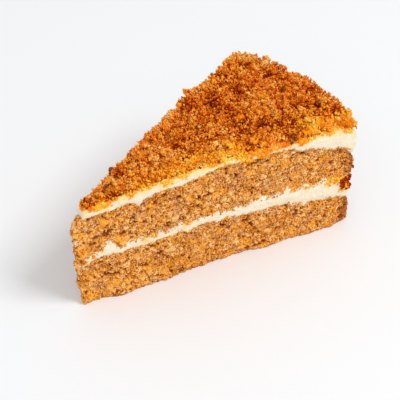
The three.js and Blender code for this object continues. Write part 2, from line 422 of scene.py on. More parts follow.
# Shaders
class Wire:  # a socket that takes part in sums
    def __init__(self, shader, socket):
        self.shader = shader
        self.socket = socket

    def sum(self, operation, first, second):
        return self.shader.add("ShaderNodeMath", {"operation": operation}, {0: first, 1: second})

    def __add__(self, other):
        return self.sum("ADD", self, other)

    def __radd__(self, other):
        return self.sum("ADD", other, self)

    def __sub__(self, other):
        return self.sum("SUBTRACT", self, other)

    def __rsub__(self, other):
        return self.sum("SUBTRACT", other, self)

    def __mul__(self, other):
        return self.sum("MULTIPLY", self, other)

    def __rmul__(self, other):
        return self.sum("MULTIPLY", other, self)


class Shader:
    def __init__(self, name):
        self.material = bpy.data.materials.new(name)
        self.material.use_nodes = True
        self.tree = self.material.node_tree
        self.tree.nodes.clear()
        self.place = self.add("ShaderNodeTexCoord", output="Object")

    def add(self, kind, settings=None, inputs=None, output=0):
        node = self.tree.nodes.new(kind)
        for name, value in (settings or {}).items():
            if name == "stops":
                self.setStops(node.color_ramp, value)
            else:
                setattr(node, name, value)
        for name, value in (inputs or {}).items():
            if isinstance(value, Wire):
                self.tree.links.new(value.socket, node.inputs[name])
            else:
                node.inputs[name].default_value = value
        return Wire(self, node.outputs[output])

    def setStops(self, ramp, stops):
        while len(ramp.elements) < len(stops):
            ramp.elements.new(1)
        for element, (position, colour) in zip(ramp.elements, stops):
            element.position = position
            element.color = (*colour, 1)

    def ramp(self, value, stops):
        return self.add("ShaderNodeValToRGB", {"stops": stops}, {"Fac": value})

    def range(self, value, low, high, newLow=0.0, newHigh=1.0):
        limits = {"From Min": low, "From Max": high, "To Min": newLow, "To Max": newHigh}
        return self.add("ShaderNodeMapRange", {"clamp": True}, {"Value": value, **limits})

    def noise(self, size, detail=2.0, roughness=0.5, where=None):  # size in mm
        shape = {"Scale": 1 / (size * mm), "Detail": detail, "Roughness": roughness}
        return self.add("ShaderNodeTexNoise", None, {"Vector": where or self.place, **shape})

    def cells(self, size):  # a random value for each crumb-sized cell, with ragged edges
        place, size = self.place, size * mm
        jitter = self.add("ShaderNodeTexNoise", None, {"Vector": place, "Scale": 1 / (0.6 * size)}, 1)
        push = self.add("ShaderNodeVectorMath", {"operation": "SCALE"}, {0: jitter, "Scale": 0.5 * size})
        where = self.add("ShaderNodeVectorMath", {"operation": "ADD"}, {0: place, 1: push})
        return self.add("ShaderNodeTexVoronoi", None, {"Vector": where, "Scale": 1 / size}, 1)

    def moved(self, distance):  # the same place in another part of the pattern
        return self.add("ShaderNodeMapping", None, {"Vector": self.place, "Location": (distance,) * 3})

    def attribute(self, name):
        return self.add("ShaderNodeAttribute", {"attribute_name": name}, output="Fac")

    def colours(self, share, first, second):
        first, second = (c if isinstance(c, Wire) else (*c, 1) for c in (first, second))
        return self.add("ShaderNodeMix", {"data_type": "RGBA"}, {0: share, 6: first, 7: second}, 2)

    def bump(self, height, distance):  # distance in mm
        return self.add("ShaderNodeBump", None, {"Height": height, "Distance": distance * mm})

    def finish(self, inputs):
        surface = self.add("ShaderNodeBsdfPrincipled", None, inputs)
        output = self.tree.nodes.new("ShaderNodeOutputMaterial")
        self.tree.links.new(surface.socket, output.inputs["Surface"])
        return self.material


spongeColours = {
    "dark": (0.38, 0.064, 0.001),
    "deep": (0.60, 0.20, 0.012),
    "middle": (0.78, 0.335, 0.050),
    "light": (1.0, 0.63, 0.26),
    "amber": (0.97, 0.43, 0.048),
    "rosy": (0.64, 0.31, 0.155),
    "skin": (0.36, 0.10, 0.02),
    "pore": (0.26, 0.032, 0.001),
    "cream": (0.95, 0.80, 0.52),
}


def spongeMaterial():
    shader = Shader("carrotSponge")
    patches = shader.noise(8, 3, 0.6)
    grains = shader.noise(1.5, 3, 0.7)
    fine = shader.noise(0.5, 2, 0.6)
    cells = shader.cells(1.1)
    # painted shade in the creases between the lumps and painted light on their tops, from crease
    crease = shader.attribute("crease")
    height = shader.add("ShaderNodeSeparateXYZ", None, {0: shader.place}, 2)
    below = shader.range(height, 0.024, 0.034, 0.04, 0)
    tone = patches * 0.7 + grains * 1.3 + fine * 3.3 + cells * 0.25 - crease * 0.85 - 2.24 - below
    colour = shader.ramp(tone, (
        (0.1, spongeColours["dark"]),
        (0.32, spongeColours["deep"]),
        (0.5, spongeColours["middle"]),
        (0.9, spongeColours["light"]),
    ))
    lowDown = shader.range(height, 0.0, 0.012, 0.35, 0)
    amber = shader.range(shader.noise(4.5, 3, 0.6) + lowDown * 0.2, 0.5, 0.66) * 0.5
    amber = amber + shader.attribute("amber") * shader.range(grains, 0.3, 0.55, 0.25, 0.75)
    colour = shader.colours(amber, colour, spongeColours["amber"])
    rosy = shader.range(shader.noise(4.5, 2, 0.5, shader.moved(0.05)), 0.54, 0.7) * 0.4
    rosy = rosy + shader.attribute("mauve") * 0.5
    colour = shader.colours(rosy, colour, spongeColours["rosy"])
    # painted shade: pores and holes are coloured dark, darker the deeper they are
    pore = shader.range(shader.attribute("pore"), 0.1, 0.9)
    colour = shader.colours(pore * 0.8, colour, spongeColours["pore"])
    skin = shader.attribute("skin") * shader.range(shader.noise(2.5, 3, 0.6), 0.3, 0.6, 0.55, 1)
    colour = shader.colours(skin, colour, spongeColours["skin"])
    smear = shader.attribute("smear") * shader.range(grains, 0.35, 0.55, 0.3, 1)
    colour = shader.colours(smear, colour, spongeColours["cream"])
    relief = grains * 0.6 + fine * 0.7
    return shader.finish({
        "Base Color": colour,
        "Roughness": shader.range(smear, 0, 1, 0.9, 0.55),
        "Normal": shader.bump(relief, 0.4),
        "Specular IOR Level": 0.01,
    })


creamColours = {"light": (0.88, 0.78, 0.60), "warm": (0.88, 0.71, 0.44), "stain": (1.0, 0.62, 0.12)}


def creamMaterial():
    shader = Shader("cream")
    patches = shader.range(shader.noise(5, 3, 0.55), 0.42, 0.68)
    colour = shader.colours(patches * 0.55, creamColours["light"], creamColours["warm"])
    colour = shader.colours(shader.attribute("stain"), colour, creamColours["stain"])
    drag = shader.add("ShaderNodeMapping", None, {"Vector": shader.place, "Scale": (0.12, 0.12, 1)})
    height = shader.noise(0.7, 3, 0.5, drag) * 0.6 + shader.noise(1.4, 3, 0.7) * 1.1
    return shader.finish({
        "Base Color": colour,
        "Roughness": 0.5,
        "Normal": shader.bump(height, 0.35),
        "Specular IOR Level": 0.3,
        "Subsurface Weight": 0.2,
        "Subsurface Radius": (1.0, 0.6, 0.3),
        "Subsurface Scale": 1.2 * mm,
    })


crumbStops = (
    (0.0, (0.26, 0.015, 0.001)),
    (0.25, (0.62, 0.085, 0.003)),
    (0.5, (0.97, 0.25, 0.013)),
    (0.75, (1.0, 0.40, 0.044)),
    (1.0, (1.0, 0.62, 0.17)),
)
butterColour = (1.0, 0.475, 0.014)
soakedColour = (1.0, 0.7, 0.14)  # where the crumbs have taken up cream


def crumbMaterial():
    shader = Shader("toastedCrumbs")
    mottle = shader.noise(0.7, 3, 0.7)
    butter = shader.attribute("butter")
    tone = shader.attribute("tone") + mottle * 1.1 - 0.55 + butter * 0.28
    colour = shader.ramp(tone, crumbStops)
    butter = butter * shader.range(tone, 0.2, 0.55)
    colour = shader.colours(shader.range(butter, 0, 1), colour, butterColour)
    colour = shader.colours(shader.range(butter, 0.9, 1.6), colour, soakedColour)
    return shader.finish({
        "Base Color": colour,
        "Roughness": 0.9,
        "Normal": shader.bump(shader.noise(0.5, 2, 0.6), 0.4),
        "Specular IOR Level": 0.01,
    })


scraps = {  # mottle: size, detail, spread; grain: size, detail, height
    "gratedCarrot": {
        "mottle": (1.2, 2, 0.15), "colours": ((0.80, 0.22, 0.008), (0.98, 0.42, 0.03)),
        "grain": (0.5, 2, 0.2), "roughness": 0.55, "gloss": 0.25,
    },
    "walnut": {
        "mottle": (1.4, 3, 0.2), "colours": ((0.76, 0.38, 0.09), (0.98, 0.62, 0.22)),
        "grain": (0.8, 3, 0.4), "roughness": 0.6, "gloss": 0.25, "skin": (0.34, 0.12, 0.02),
    },
    "toastedNut": {
        "mottle": (0.8, 3, 0.15), "colours": ((0.14, 0.022, 0.002), (0.38, 0.085, 0.01)),
        "grain": (0.5, 2, 0.3), "roughness": 0.7, "gloss": 0.2,
    },
}


def scrapMaterial(name):
    settings = scraps[name]
    shader = Shader(name)
    size, detail, spread = settings["mottle"]
    mottle = shader.range(shader.noise(size, detail, 0.6), 0.5 - spread, 0.5 + spread)
    colour = shader.colours(mottle, *settings["colours"])
    if "skin" in settings:
        skin = shader.range(shader.noise(0.7, 2, 0.5), 0.56, 0.66, 0, 0.6)
        colour = shader.colours(skin, colour, settings["skin"])
    size, detail, height = settings["grain"]
    return shader.finish({
        "Base Color": colour,
        "Roughness": settings["roughness"],
        "Normal": shader.bump(shader.noise(size, detail, 0.6), height),
        "Specular IOR Level": settings["gloss"],
    })


spongeFinish, creamFinish, crumbFinish = spongeMaterial(), creamMaterial(), crumbMaterial()
carrotFinish, walnutFinish, nutFinish = (scrapMaterial(name) for name in scraps)
print("finishes ready")


def dress(piece, finish, slotName, *nodes):
    piece.data.materials.append(finish)
    if nodes:
        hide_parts(*nodes)


def seamFace(seam, offset=0):
    return lambda x, y, r, wall: seamHeight(seam, x, y, r, wall) + offset


lowerSponge = {
    **sponge,
    "rows": 54,
    "tip": ((0, 2.0), (0.17, 1.8), (0.33, 1.4), (0.5, 0.4), (0.67, 1.0), (0.83, 1.1), (1, 0.6)),
    "bottom": flatBase,
    "top": seamFace("lowerTop"),
    "edgePower": 8,
    "cutRounding": 0.3,
    "rimRounding": 2.4,
    "rimBulge": 0.7,
    "marks": ("pore", "skin", "smear", "crease", "amber", "mauve"),
    "relief": spongeRelief(False, True, 0.35, (125.2, 129)),
}
dress(finishPiece(layerShape(lowerSponge), "lowerSponge", False), spongeFinish, "sponge", "sponge_lower")

upperSponge = {
    **lowerSponge,
    "rows": 56,
    "tip": (
        (0, 0.5), (0.14, 0.2), (0.29, 0), (0.43, 0.3), (0.57, 0.7), (0.71, -0.1), (0.86, 1.2), (1, 2.4),
    ),
    "rimBulge": 1.1,
    "bottom": seamFace("upperBottom"),
    "top": seamFace("upperTop"),
    "relief": spongeRelief(True, True, 0.9, (127.2, 129.6)),
}
dress(finishPiece(layerShape(upperSponge), "upperSponge", False), spongeFinish, "sponge", "sponge_upper")

# Cream
cream = {
    "grid": 0.5, "wave": 0.4, "waveSize": 6, "grain": 0.2, "grainSize": 1.6,
    "drag": 0.15, "dragSize": 9, "dragHeight": 0.8,
    "stained": 0.9, "stainFades": (-0.6, 2.8), "spotted": 0.8, "spotFades": (0.5, 1.2),
}


def creamRelief(out, stainedTop):
    def relief(point, wall, r, aboveBottom, belowTop):
        wave = cream["wave"] * rough(point, cream["waveSize"])
        stretched = Vector((point.x, point.y, 0)) / cream["dragSize"]
        stretched.z = point.z / cream["dragHeight"]
        drag = cream["drag"] * noise.noise(stretched) + cream["grain"] * rough(point, cream["grainSize"])
        uneven = rough(point, 1.5)
        stain = 0
        if stainedTop:
            depth = belowTop - max(spillAt(r, wall), 0) + 1.6 * uneven
            stain = cream["stained"] * (1 - ease(*cream["stainFades"], depth))
        elif wall == nearCut:
            stain = cream["spotted"] * spotAmount("stain", point, r, 0.4 * uneven, cream["spotFades"])
        return wave + drag + out, {"stain": clamp(stain)}
    return relief


spill = (  # how far crumbs reach down over the near cut's cream, or stay back from it: r, millimetres
    (4, -1), (9, 0.4), (13, 1.7), (15, 2.6), (17, 0.8), (19, -1.6), (22, -3.4), (24.3, -4),
    (25.6, 0.8), (26.8, 0.8), (28, -1.3), (31, -2.4), (34, -1.2), (36, -2.8), (38, -2.6), (40, -0.4),
    (41.6, 2.2), (44, 1.2), (45.6, -2), (48, -2), (49.6, 1.2), (50.8, 0.6), (52, -1.8), (54, -2.4),
    (56, -3), (58, -3.6), (60, -2.2), (62, 0.8), (64, 1.5), (66, 0.2), (68, -0.5), (70, -0.7),
    (72, -0.3), (74, 1.4), (76, 3.2), (78, -0.6), (80, 1), (82, 1), (84, 3.6), (88, 3.4), (90, 1.8),
    (92, 2.2), (94, 1.2), (96, 1.3), (100, 1), (105, 2.4), (109, 0), (112, -1.6), (114, -3.4),
    (116, -1.6), (118, -0.5), (120, -2.8), (122, -4), (124, -4.4), (126, -1.2), (129, 0.8), (131, 0.5),
)


def spillAt(r, wall):
    return between(spill, r) if wall == nearCut else 0.4


def setBack(r):  # from the near cut to the first crumbs on the cream
    return max(-between(spill, r), 0)


fillingCream = {
    "grid": cream["grid"],
    "rows": 14,
    "tip": ((0, 4.2), (1, 4.0)),
    "bottom": seamFace("lowerTop", -0.9),
    "top": seamFace("upperBottom", 0.9),
    "edgePower": 4,
    "cutRounding": 0.8,
    "rimRounding": 1.2,
    "rimBulge": 0.4,
    "marks": ("stain",),
    "relief": creamRelief(0.05, False),
}
dress(finishPiece(layerShape(fillingCream), "fillingCream"), creamFinish, "cream", "cream_filling")

topCream = {
    **fillingCream,
    "rows": 24,
    "tip": ((0, 4.4), (1, 6.2)),
    "bottom": seamFace("upperTop", -0.9),
    "top": seamFace("creamTop"),
    "rimRounding": 1.6,
    "rimBulge": 1.6,
    "relief": creamRelief(0, True),
}
dress(finishPiece(layerShape(topCream), "topCream"), creamFinish, "cream", "cream_top")

draw = random.Random(11)

# Crumb bed
bed = {
    "grid": 0.6,
    "tip": 6,
    "thickness": 1.5,
    "bump": 1.5,
    "bumpSize": 5,
    "clump": 2.2,
    "clumpSize": 3.4,
    "clumpLevel": 0.22,
    "grain": 0.6,
    "grainSize": 1.6,
    "inset": 0.8,
    "nearInset": 0.2,  # more at the near cut, where the crumbs thin out
    "nearSlope": (0.6, 4),  # it thins out over these distances from the near cut, the far cut and the rim
    "farSlope": (0, 3),
    "rimSlope": (-0.3, 1.8),
    "rimRise": (3.6, 92, 120),  # height, from r, to r
    "tipDrop": (2.7, 8, 36),
    "least": 0.15,
    "skirt": 1.2,
    "gapShade": 0.2,  # painted shade: the bed, which shows in the gaps between the crumbs, is darker than the crumbs on it
    "buttered": 0.32,
    "soaked": 1.2,  # where it thins out over the cream
    "soakedReach": 2.4,
}
heaps = (  # places where the crumbs lie higher or lower: x, y, size, height
    (78.2, 20.5, 4.6, 3.9), (87, 22, 3.5, 0.5), (93.5, 28, 3, -1), (101, 30.5, 3, -1.8),
    (109.3, 33, 3, 1.4), (69, 21.5, 3, -1.2), (61, 19, 3, -1), (20.4, 7, 2.5, -2.4),
    (84.6, 25.8, 2.5, -1), (28, 8.5, 2.5, 1), (118, 34, 3.5, 1), (125, 36, 4.5, -3.6),
    (127.2, 38.6, 2.5, -1.6), (8, 2.8, 3, -2.4), (13, 5, 3, -1.4), (128, 24, 5, 1.3),
    (127, 12, 4, 0.8), (128, -2, 5, 0.8), (118, 5, 8, 0.8), (126, -27, 5, -0.6),
)
toastAndShadePlaces = (  # places painted darker or lighter, partly toasted crumbs and partly painted shade and light of the pile: x, y, size, extra share
    (86, -3, 4.5, 0.7), (84.7, 10.2, 4.5, 0.65), (111.8, -15.2, 3.2, 0.95), (122.5, 12.4, 5, 0.6),
    (102, 26, 4, 0.6), (93.3, -32, 3, 0.8), (78.8, -6.9, 3.5, 0.4), (79.6, -26.6, 3, 0.95),
    (99.6, -20.4, 3.2, 0.8), (82.5, -12.8, 3.5, 0.45), (90, 18.5, 3.5, 0.65), (95, -27, 3.5, 0.5),
    (123.6, -11, 3.5, 0.75), (79.4, 5.7, 4, 0.4), (117.5, -20.5, 3, 0.75), (121.2, -26.6, 3, 0.7),
    (100.5, 12, 4, 0.95), (93, -13.4, 4.5, 0.4), (76, 17.5, 4, 0.4), (29.5, 3, 2.6, 0.5),
    (23.6, 1.4, 2, -0.5), (18.8, -3.6, 3, 0.75), (8, 0, 2.5, 0.5), (61.5, 8.4, 4, 0.45),
    (59.3, 3, 2.4, 0.5), (50, -4.5, 3, -0.3), (42.5, -2, 3.5, -0.3), (121, 29, 3.4, -0.6),
    (115, 27.4, 3, 0.6), (124.5, 18.6, 3.6, -0.7), (57, -3, 3.5, 0.4), (65, -2, 4, 0.35),
    (54, 3.5, 3.5, 0.3), (114.4, -0.5, 4, 0.45), (115, 22, 3.5, 0.35), (76, 14.2, 3, 0.4),
    (89.5, -13.6, 2.5, 0.4), (105.5, -11, 2.5, 0.45), (117.6, 10, 2.5, 0.35), (100.3, -30, 3, 0.7),
    (86, 13.5, 2.5, 0.4), (80.5, -19.6, 2.4, 0.45), (56, -8.6, 2.4, 0.4), (94, 26, 3, -0.4),
    (66.8, -15, 3, -0.4), (14, -7, 2.4, -0.5), (77.5, -3.6, 2, -0.3), (114.5, -35, 4, -0.6),
    (50.6, -8.9, 2.2, -0.35), (69.8, 4.4, 2.6, 0.35), (87.4, 3.7, 2.4, 0.4), (61.5, -19, 2.2, 0.4),
)
toast = {
    "level": 0.625, "patches": (0.15, 7), "grains": (0.26, 3),  # how far the tone varies, size
    "share": 0.1, "deeper": 0.36, "patch": 0.55,  # single dark crumbs, and the toasted places, which also carry painted shade and light
}
buttered = (  # amber patches
    (108.4, -24.5, 7, 0.9), (66.4, -17, 5, 0.6), (33.6, -8.7, 5, 0.5), (51, -17, 4, 0.4),
    (95, 4, 5, 0.3), (93.4, 17.3, 3.5, 0.5), (96, 27, 3.5, 0.5), (72, 2, 5, 0.3), (112, 20, 5, 0.3),
    (45, 4, 4, 0.3),
)
butterEdge = {
    "near": 1.5, "reach": (2.3, 4), "wider": (38, 48),  # the reach grows from r to r
    "even": 0.85, "patchSize": 3.6, "far": 0.55, "farSize": 4, "most": 1.9,
}
butterReach = (  # how strong it is along the near cut
    (4, 0.2), (10, 0.4), (14, 1.2), (17, 1.7), (20, 1.1), (38, 1), (44, 1.5), (60, 1.5), (67, 1.2),
    (76, 1.1), (82, 0.4), (98, 0.25), (104, 0.9), (122, 1.1), (128, 0.8),
)


def nearDistance(x, y):  # from the near cut
    return x * math.sin(halfAngle) + y * math.cos(halfAngle) + wedge["tipWidth"] / 2


def toneAt(x, y):
    patches, grains = toast["patches"], toast["grains"]
    tone = toast["level"] + patches[0] * rough(Vector((x, y, 50)), patches[1])
    return tone + grains[0] * rough(Vector((x, y, 9)), grains[1])


def toastAndShadeAt(x, y):
    return humps(toastAndShadePlaces, x, y)


def crumbTone(x, y, vary):
    # darker in the toasted places, which are partly toasted crumbs and partly painted shade
    tone = toneAt(x, y) + draw.gauss(0, vary) - toast["patch"] * toastAndShadeAt(x, y)
    return tone - (toast["deeper"] if draw.random() < toast["share"] + 0.5 * toastAndShadeAt(x, y) else 0)


def butterAt(x, y):
    spots = humps(buttered, x, y)
    r = math.hypot(x, y)
    reach = mix(*butterEdge["reach"], ease(*butterEdge["wider"], r))
    edge = butterEdge["near"] * math.exp(-max(nearDistance(x, y) - setBack(r), 0) / reach)
    edge *= between(butterReach, r)
    amount = (spots + edge) * (butterEdge["even"] + rough(Vector((x, y, 30)), butterEdge["patchSize"]))
    amount += butterEdge["far"] * rough(Vector((x, y, 70)), butterEdge["farSize"])
    return clamp(amount, 0, butterEdge["most"])


def bedHeight(x, y):
    r = math.hypot(x, y)
    grain = bed["grain"] * rough(Vector((x, y, 0)), bed["grainSize"])
    wave = bed["bump"] * rough(Vector((x, y, 9)), bed["bumpSize"])
    slope = ease(*bed["nearSlope"], nearDistance(x, y) - setBack(r))
    slope *= ease(*bed["farSlope"], nearDistance(x, -y))
    slope *= ease(*bed["rimSlope"], wedge["radius"] - r)
    rise, riseFrom, riseTo = bed["rimRise"]
    drop, dropTo, dropFrom = bed["tipDrop"]
    level = bed["thickness"] + rise * ease(riseFrom, riseTo, r) - drop * (1 - ease(dropTo, dropFrom, r))
    level += bed["clump"] * (bed["clumpLevel"] - abs(rough(Vector((x, y, 40)), bed["clumpSize"])))
    level += humps(heaps, x, y)
    return seamHeight("creamTop", x, y, r, farCut) + max((level + grain + wave) * slope, bed["least"])


def crumbBed():
    bm = bmesh.new()
    radius, tip = wedge["radius"] - bed["inset"], bed["tip"]
    steps = (round((radius - tip) / bed["grid"]), round(rimLength / bed["grid"]))
    bmesh.ops.create_grid(bm, x_segments=steps[0], y_segments=steps[1], size=0.5)
    toneLayer, butterLayer = (bm.verts.layers.float.new(name) for name in ("tone", "butter"))
    half = max(vert.co.x for vert in bm.verts)
    for vert in bm.verts:
        r = mix(tip, radius, (vert.co.x / half + 1) / 2)
        side = vert.co.y / half
        halfWidth = halfWidthAt(r) - bed["inset"]
        y = mix(min(setBack(r) + bed["nearInset"] - halfWidth, halfWidth), halfWidth, (side + 1) / 2)
        x = math.sqrt(max(r * r - y * y, 0))
        vert.co = Vector((x + middleX, y, bedHeight(x, y))) * mm
        soaked = 1 - ease(0, bed["soakedReach"], nearDistance(x, y) - setBack(r))
        soaked *= bed["soaked"] * between(butterReach, r)
        vert[butterLayer] = max(bed["buttered"] * butterAt(x, y), soaked)
        dry = 1 - clamp(vert[butterLayer])
        # painted shade in the gaps between crumbs, more in the toasted places, less where the bed is
        # buttered
        vert[toneLayer] = toneAt(x, y) - bed["gapShade"] * (1 + toastAndShadeAt(x, y)) * dry
    rimEdges = [edge for edge in bm.edges if edge.is_boundary]
    grown = bmesh.ops.extrude_edge_only(bm, edges=rimEdges)["geom"]
    for vert in (item for item in grown if isinstance(item, bmesh.types.BMVert)):
        x, y = vert.co.x / mm - middleX, vert.co.y / mm
        vert.co.z = (seamHeight("creamTop", x, y, math.hypot(x, y), farCut) - bed["skirt"]) * mm
    bmesh.ops.contextual_create(bm, geom=[item for item in grown if isinstance(item, bmesh.types.BMEdge)])
    bmesh.ops.recalc_face_normals(bm, faces=bm.faces)
    return bm


dress(finishPiece(crumbBed(), "crumbBed", False), crumbFinish, "crumbs", "crumb_topping")

# Crumbs dropped on the bed, each on what lies there already
pile = {
    "cell": 0.5, "batch": 40,
    "settle": 0.75, "sink": 0.6, "soaked": 0.9,  # how far crumbs sink into each other
    "cap": 3.6, "fringe": 2.4, "thinning": 0.55, "overRim": 0.8,
    "middle": 1.3, "lift": 0.12,  # painted shade and light: crumbs in the pile's hollows are darker, those high on it lighter
    "atRim": 0.05, "atFar": 0.06, "edgeReach": 3.2,  # more crumbs on the slopes there
    "margin": 0.2, "ragged": (0.6, 1.2),  # of a crumb's radius and of the distance set back
    "small": 1.6,  # a higher power makes more small crumbs
}
crumbKinds = (
    {
        "name": "coarseCrumbs", "count": 150, "radii": (0.8, 1.5),
        "shape": "ball", "rough": 0.42, "vary": 0.08, "tries": 1,
    },
    {
        "name": "mediumCrumbs", "count": 3300, "radii": (0.34, 0.8),
        "shape": "block", "rough": 0.32, "vary": 0.13, "tries": 1,
    },
    {
        "name": "smallCrumbs", "count": 9600, "radii": (0.28, 0.52),
        "shape": "chip", "rough": 0.32, "vary": 0.17, "tries": 1,
    },
    {
        "name": "fineCrumbs", "count": 9600, "radii": (0.2, 0.38),
        "shape": "chip", "rough": 0.32, "vary": 0.2, "tries": 2,
    },
    {
        "name": "gritCrumbs", "count": 9000, "radii": (0.14, 0.26),
        "shape": "chip", "rough": 0.32, "vary": 0.24, "tries": 1,
    },
)
heights = {}


def pileHeight(cell):
    if cell not in heights:
        heights[cell] = bedHeight(cell[0] * pile["cell"], cell[1] * pile["cell"])
    return heights[cell]


def footprint(x, y, radius):  # cells under a ball, and how far its underside is above its lowest point
    cell = pile["cell"]
    reach = math.ceil(radius / cell)
    column, row = round(x / cell), round(y / cell)
    for i in range(column - reach, column + reach + 1):
        for j in range(row - reach, row + reach + 1):
            away = math.hypot(i * cell - x, j * cell - y)
            if away < radius or (i, j) == (column, row):
                yield (i, j), math.sqrt(max(radius * radius - away * away, 0))


def restHeight(x, y, radius):
    return max(pileHeight(cell) + drop * pile["settle"] for cell, drop in footprint(x, y, radius))


def topPlace(margin):
    outermost = wedge["radius"] + pile["overRim"]
    r = math.sqrt(draw.uniform((bed["tip"] + 1) ** 2, outermost ** 2))
    halfWidth = halfWidthAt(r) - margin
    y = draw.uniform(-halfWidth, halfWidth)
    chance, inwards = draw.random(), draw.uniform(0, pile["edgeReach"])
    if chance < pile["atRim"]:
        y *= (outermost - inwards) / r
        r = outermost - inwards
    elif chance < pile["atRim"] + pile["atFar"]:
        y = max(halfWidth - inwards, -halfWidth)
    return math.sqrt(r * r - y * y), y


def crumbShape(kind):  # a unit crumb to be roughened, of 80, 24 or 20 faces
    bm = bmesh.new()
    if kind == "block":
        bmesh.ops.create_cube(bm, size=1.15)
        bmesh.ops.subdivide_edges(bm, edges=bm.edges, cuts=1, use_grid_fill=True)
        for vert in bm.verts:
            vert.co.normalize()
    else:
        bmesh.ops.create_icosphere(bm, subdivisions=2 if kind == "ball" else 1, radius=1)
    return meshOf(bm, kind)


crumbShapes = {kind: crumbShape(kind) for kind in ("ball", "block", "chip")}
crumb = {"stretch": (0.6, 1.35), "butter": (0.4, 1.4), "soaks": (0.1, 0.5), "mottle": 0.12}


def addCopy(bm, mesh):  # and its vertices
    bm.from_mesh(mesh)
    bm.verts.ensure_lookup_table()
    return bm.verts[-len(mesh.vertices):]


def addCrumb(bm, layers, point, radius, kind, tone):
    stretch = Vector(draw.uniform(*crumb["stretch"]) for _ in range(3))
    tilt, spin = (Matrix.Rotation(draw.uniform(0, math.pi), 4, axis) for axis in "XZ")
    turn = tilt @ spin
    butter = butterAt(point.x, point.y) * draw.uniform(*crumb["butter"]) * ease(*crumb["soaks"], tone)
    for vert in addCopy(bm, crumbShapes[kind["shape"]]):
        knob = 1 + draw.uniform(-kind["rough"], kind["rough"])
        away = turn @ (vert.co * knob * stretch)
        vert.co = (away * radius + point + middle) * mm
        vert[layers[0]] = tone + draw.uniform(-crumb["mottle"], crumb["mottle"])
        # painted light and shade: each crumb's top is painted more buttery and brighter, its underside less
        vert[layers[1]] = butter * (0.85 + 0.3 * away.z)


def drawnRadius(radii, power):
    return mix(*radii, draw.random() ** power)


def droppedCrumbs(kind):  # centre, radius and tone of each crumb
    for _ in range(kind["count"]):
        radius = drawnRadius(kind["radii"], pile["small"])
        tries = [topPlace(radius * pile["margin"]) for _ in range(kind["tries"])]
        x, y = min(tries, key=lambda place: restHeight(*place, radius))
        z = restHeight(x, y, radius)
        z -= pile["soaked"] * radius * clamp(butterAt(x, y) - 0.3)
        depth = z - bedHeight(x, y)
        fromEdge = nearDistance(x, y) - setBack(math.hypot(x, y)) * draw.uniform(*pile["ragged"])
        thin = pile["thinning"] * (1 - fromEdge / pile["fringe"])
        if depth > pile["cap"] or fromEdge < 0 or draw.random() < thin:
            continue
        for cell, drop in footprint(x, y, radius):
            heights[cell] = max(pileHeight(cell), z + drop * pile["sink"])
        # painted shade in the pile's hollows and painted light on its heights
        lift = pile["lift"] * clamp(depth - pile["middle"], -1.3, 0.9)
        yield Vector((x, y, z)), radius, crumbTone(x, y, kind["vary"]) + lift


def addBatch(whole, crumbs, kind):  # apart, as crumbs are slow to add to a large mesh
    bm = bmesh.new()
    layers = [bm.verts.layers.float.new(name) for name in ("tone", "butter")]
    for point, radius, tone in crumbs:
        addCrumb(bm, layers, point, radius, kind, tone)
    mesh = meshOf(bm, "batch")
    whole.from_mesh(mesh)
    bpy.data.meshes.remove(mesh)


def crumbPiece(kind, *sources, finish=crumbFinish, slotName="crumbs"):
    whole = bmesh.new()
    for crumbs in sources:
        for batch in iter(lambda: list(itertools.islice(crumbs, pile["batch"])), []):
            addBatch(whole, batch, kind)
    dress(finishPiece(whole, kind["name"], False), finish, slotName)


for kind in crumbKinds:
    crumbPiece(kind, droppedCrumbs(kind))

# Dark bits of walnut among the crumbs: x, y, radius
nutBits = {"name": "nutBits", "shape": "ball", "rough": 0.42, "sunk": 0.4}
nutPlaces = (
    (113.9, -2.4, 0.9), (114.8, -1.8, 0.6), (117, -20.2, 1), (117.9, -19.6, 0.7), (94.2, -28.1, 1.1),
    (95.4, -28.8, 0.9), (93.6, -28.5, 0.8), (25.4, 6.6, 0.8), (26.4, 7.4, 0.6), (24.6, 5.9, 0.6),
    (19.4, 1.6, 0.7), (18.4, 0.8, 0.8), (17.6, 0.2, 0.6), (9.4, -1.8, 0.6), (121, 6, 0.6),
    (70, 12, 0.6), (101, 20, 0.7),
)


def nutCrumbs():
    for x, y, radius in nutPlaces:
        z = restHeight(x, y, radius) - nutBits["sunk"] * radius
        yield Vector((x, y, z)), radius, draw.uniform(0.2, 0.8)


crumbPiece(nutBits, nutCrumbs(), finish=nutFinish)

# Crumbs stuck to the walls just under the topping's edge
spilled = {
    "name": "spilledCrumbs", "count": 1300, "radii": (0.22, 0.7), "shape": "block", "rough": 0.34,
    "nearShare": 0.66, "above": 0.4, "below": 2, "strayed": 1.5, "least": -0.6,
    "proud": 0.75, "proudAbove": 0.3, "small": 1.8, "vary": 0.15, "darkest": 0.42,
}


def spilledCrumbs():
    made = 0
    while made < spilled["count"]:
        limits = (2, cutLength) if draw.random() < spilled["nearShare"] else (0, roundLength)
        along = draw.uniform(*limits)
        point, normal = layerPoint(topCream, along, 1)[:2]
        wall, r = plainOutline(along, topCream["tip"][-1][1], wedge["radius"])[2:]
        depth = draw.uniform(-spilled["above"], spillAt(r, wall) + spilled["below"])
        reach = spillAt(r, wall) * draw.uniform(0.5, 1) + 0.4 * draw.gauss(0, 1) - 0.2
        reach += spilled["strayed"] * max(draw.gauss(0, 1) - 1, 0)
        if depth > reach or reach < spilled["least"]:
            continue
        made += 1
        radius = drawnRadius(spilled["radii"], spilled["small"])
        place = Vector((point.x, point.y, heightAt(faces["creamTop"], r) - depth))
        place += normal * spilled["proud" if depth > 0 else "proudAbove"]
        yield place, radius, max(crumbTone(place.x, place.y, spilled["vary"]), spilled["darkest"])


crumbPiece(spilled, spilledCrumbs())

